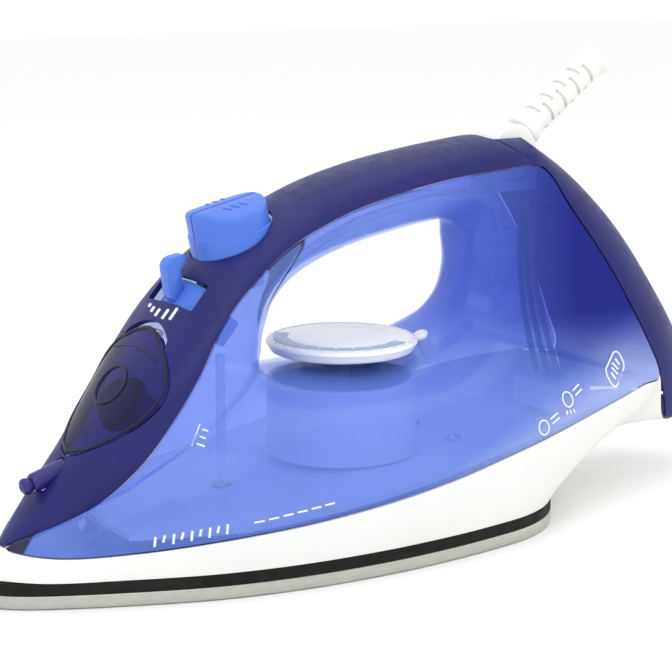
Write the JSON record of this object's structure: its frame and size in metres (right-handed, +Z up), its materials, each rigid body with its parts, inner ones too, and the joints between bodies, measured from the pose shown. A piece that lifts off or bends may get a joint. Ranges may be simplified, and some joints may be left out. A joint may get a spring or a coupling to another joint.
{
  "type": "steam iron",
  "caption": "Corded steam iron with a clear blue water tank round the handle opening, a dial, a steam lever, spray and boost buttons, a fill door and a tilting cord guard.",
  "frame": {"origin": "middle of the bounding box on the ironing face, where the soleplate rests", "axes": "+X from the nose to the heel, +Z up from the ironing face, +Y across the iron, away from the side that the picture shows"},
  "size_m": [0.2998, 0.1084, 0.1624],
  "materials": {
    "coated_sheet": "satin grey-beige coating over sheet",
    "cast_alloy": "rough die-cast",
    "steel": "plain",
    "black_plastic": "matte heat-resistant",
    "white_plastic": "satin",
    "navy_plastic": "satin",
    "blue_tank": "clear tinted, polished",
    "periwinkle_plastic": "satin",
    "smoke_clear": "clear tinted, polished",
    "rubber": "matte",
    "grey_blue_plastic": "satin",
    "violet_plastic": "satin",
    "clear_plastic": "clear",
    "brass": "turned",
    "ceramic": "unglazed ceramic",
    "lead_wire": "insulated wire"
  },
  "bodies": {
    "iron_body": {"soleplate_sheet": "coated_sheet", "soleplate_casting": "cast_alloy", "heating_element": "steel", "steam_chamber_cover": "cast_alloy", "heat_shield": "black_plastic", "skirt": "white_plastic", "tank_floor": "white_plastic", "water_tank": "blue_tank", "handle_cover": "navy_plastic", "rear_cover": "navy_plastic", "filler_seal": "rubber", "filler_neck": "violet_plastic", "door_hinge_pin": "steel", "spray_nozzle_body": "violet_plastic", "nozzle_tip": "violet_plastic", "drip_valve_seat": "brass", "spray_pump": "white_plastic", "boost_pump": "white_plastic", "spray_tube": "clear_plastic", "boost_tube": "clear_plastic", "pump_tee": "clear_plastic", "suction_hose": "clear_plastic", "dial_base": "violet_plastic", "thermostat_housing": "white_plastic", "thermostat": "ceramic", "thermal_fuse": "steel", "indicator_lens": "clear_plastic", "indicator_lamp": "clear_plastic", "cord_saddle": "white_plastic", "terminal_block": "ceramic", "cable_clamp": "black_plastic", "live_lead": "lead_wire", "earth_lead": "rubber", "neutral_lead": "navy_plastic", "left_terminal_screw": "steel", "right_terminal_screw": "steel", "front_deck_screw": "steel", "left_deck_screw": "steel", "right_deck_screw": "steel"},
    "dial": {"dial": "white_plastic", "dial_ring": "grey_blue_plastic", "dial_shaft": "white_plastic"},
    "steam_lever": {"steam_lever": "periwinkle_plastic"},
    "valve_rod": {"steam_valve_rod": "steel"},
    "spray_button": {"spray_button": "periwinkle_plastic", "spray_plunger": "violet_plastic", "spray_spring": "steel"},
    "boost_button": {"boost_button": "periwinkle_plastic", "boost_plunger": "violet_plastic", "boost_spring": "steel"},
    "fill_door": {"fill_door": "smoke_clear", "fill_plug": "violet_plastic"},
    "cord_swivel": {"cord_swivel": "white_plastic"},
    "cord_guard": {"cord_guard": "white_plastic"}
  },
  "joints": [
    {"name": "dial_turn", "type": "hinge", "parent": "iron_body", "child": "dial", "pos_m": [-0.0114, 0, 0.066], "axis": [0, 0, 1], "range_deg": [0, 270]},
    {"name": "steam_lever_swing", "type": "hinge", "parent": "iron_body", "child": "steam_lever", "pos_m": [-0.05856, 0, 0.07528], "axis": [0.6606, 0, 0.7507], "range_deg": [-15, 15]},
    {"name": "steam_valve_lift", "type": "slide", "parent": "iron_body", "child": "valve_rod", "axis": [0, 0, 1], "range_m": [-0.0009, 0.0009]},
    {"name": "spray_button_press", "type": "slide", "parent": "iron_body", "child": "spray_button", "axis": [0.208, 0, -0.9781], "range_m": [0, 0.003], "stiffness_N_per_m": 300, "springref_m": -0.002, "deforming": ["spray_spring"]},
    {"name": "boost_button_press", "type": "slide", "parent": "iron_body", "child": "boost_button", "axis": [0.208, 0, -0.9781], "range_m": [0, 0.003], "stiffness_N_per_m": 300, "springref_m": -0.002, "deforming": ["boost_spring"]},
    {"name": "fill_door_open", "type": "hinge", "parent": "iron_body", "child": "fill_door", "pos_m": [-0.0845, 0, 0.0782], "axis": [0, 1, 0], "range_deg": [0, 55]},
    {"name": "cord_guard_tilt", "type": "hinge", "parent": "iron_body", "child": "cord_swivel", "pos_m": [0.0581, 0, 0.1269], "axis": [0, 1, 0], "range_deg": [-20, 8]},
    {"name": "cord_guard_turn", "type": "hinge", "parent": "cord_swivel", "child": "cord_guard", "pos_m": [0.0581, 0, 0.1269], "axis": [0.816, 0, 0.578], "range_deg": [-170, 170]}
  ],
  "couplings": [
    {"joint": "steam_valve_lift", "follows": "steam_lever_swing", "m_per_rad": 0.003}
  ]
}
